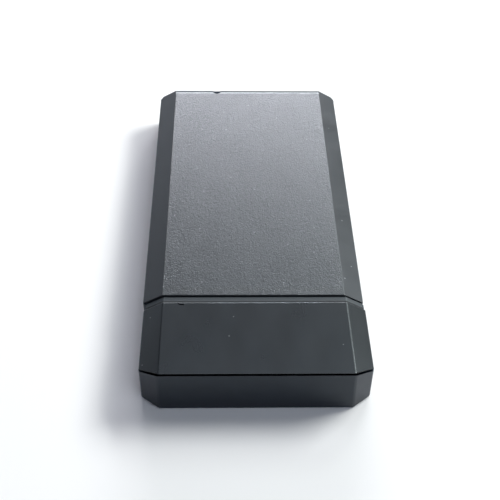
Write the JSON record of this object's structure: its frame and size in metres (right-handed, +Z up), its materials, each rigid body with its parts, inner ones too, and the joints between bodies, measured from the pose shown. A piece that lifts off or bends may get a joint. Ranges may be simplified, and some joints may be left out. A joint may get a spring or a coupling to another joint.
{
  "type": "logic analyzer",
  "caption": "Slim black plastic USB logic analyzer with a grained top, sloping side edges and a smooth end cap that pulls off its probe header.",
  "frame": {"origin": "under the middle of the whole case, on the surface that it lies on", "axes": "+Y along the case from the cap to the USB socket, +Z up out of the grained top, +X to the right"},
  "size_m": [0.0503, 0.11, 0.011],
  "materials": {
    "grained_cover": "fine grained flat top, satin sloping edges",
    "satin_case": "smooth satin",
    "satin_cap": "smooth, slightly glossy",
    "collar_plastic": "matte",
    "board": "solder mask over woven glass",
    "connector_plastic": "matte, glass filled",
    "gold_contacts": "thin gold plating",
    "socket_steel": "drawn and plated",
    "chip_plastic": "matte moulding compound",
    "crystal_can": "plated can",
    "ceramic": "fired ceramic",
    "resistor_film": "matte",
    "fuse_film": "matte",
    "lamp_resin": "clear resin over a pale base",
    "screw_steel": "zinc plated"
  },
  "bodies": {
    "case": {"top_cover": "grained_cover", "bottom_tray": "satin_case", "neck_bezel": "collar_plastic", "circuit_board": "board", "header_base": "connector_plastic", "header_pins": "gold_contacts", "usb_shell": "socket_steel", "usb_tongue": "connector_plastic", "usb_contacts": "gold_contacts", "logic_chip": "chip_plastic", "usb_controller": "chip_plastic", "sample_memory": "chip_plastic", "config_memory": "chip_plastic", "input_buffers": "chip_plastic", "voltage_regulators": "chip_plastic", "power_inductor": "resistor_film", "clock_crystal": "crystal_can", "surge_arrays": "chip_plastic", "resistor_arrays": "resistor_film", "capacitors": "ceramic", "resettable_fuse": "fuse_film", "status_leds": "lamp_resin", "case_screws": "screw_steel"},
    "cap": {"cap_cover": "satin_cap", "cap_tray": "satin_case"}
  },
  "joints": [
    {"name": "cap_pull", "type": "slide", "parent": "case", "child": "cap", "axis": [0, -1, 0], "range_m": [0, 0.03]}
  ]
}
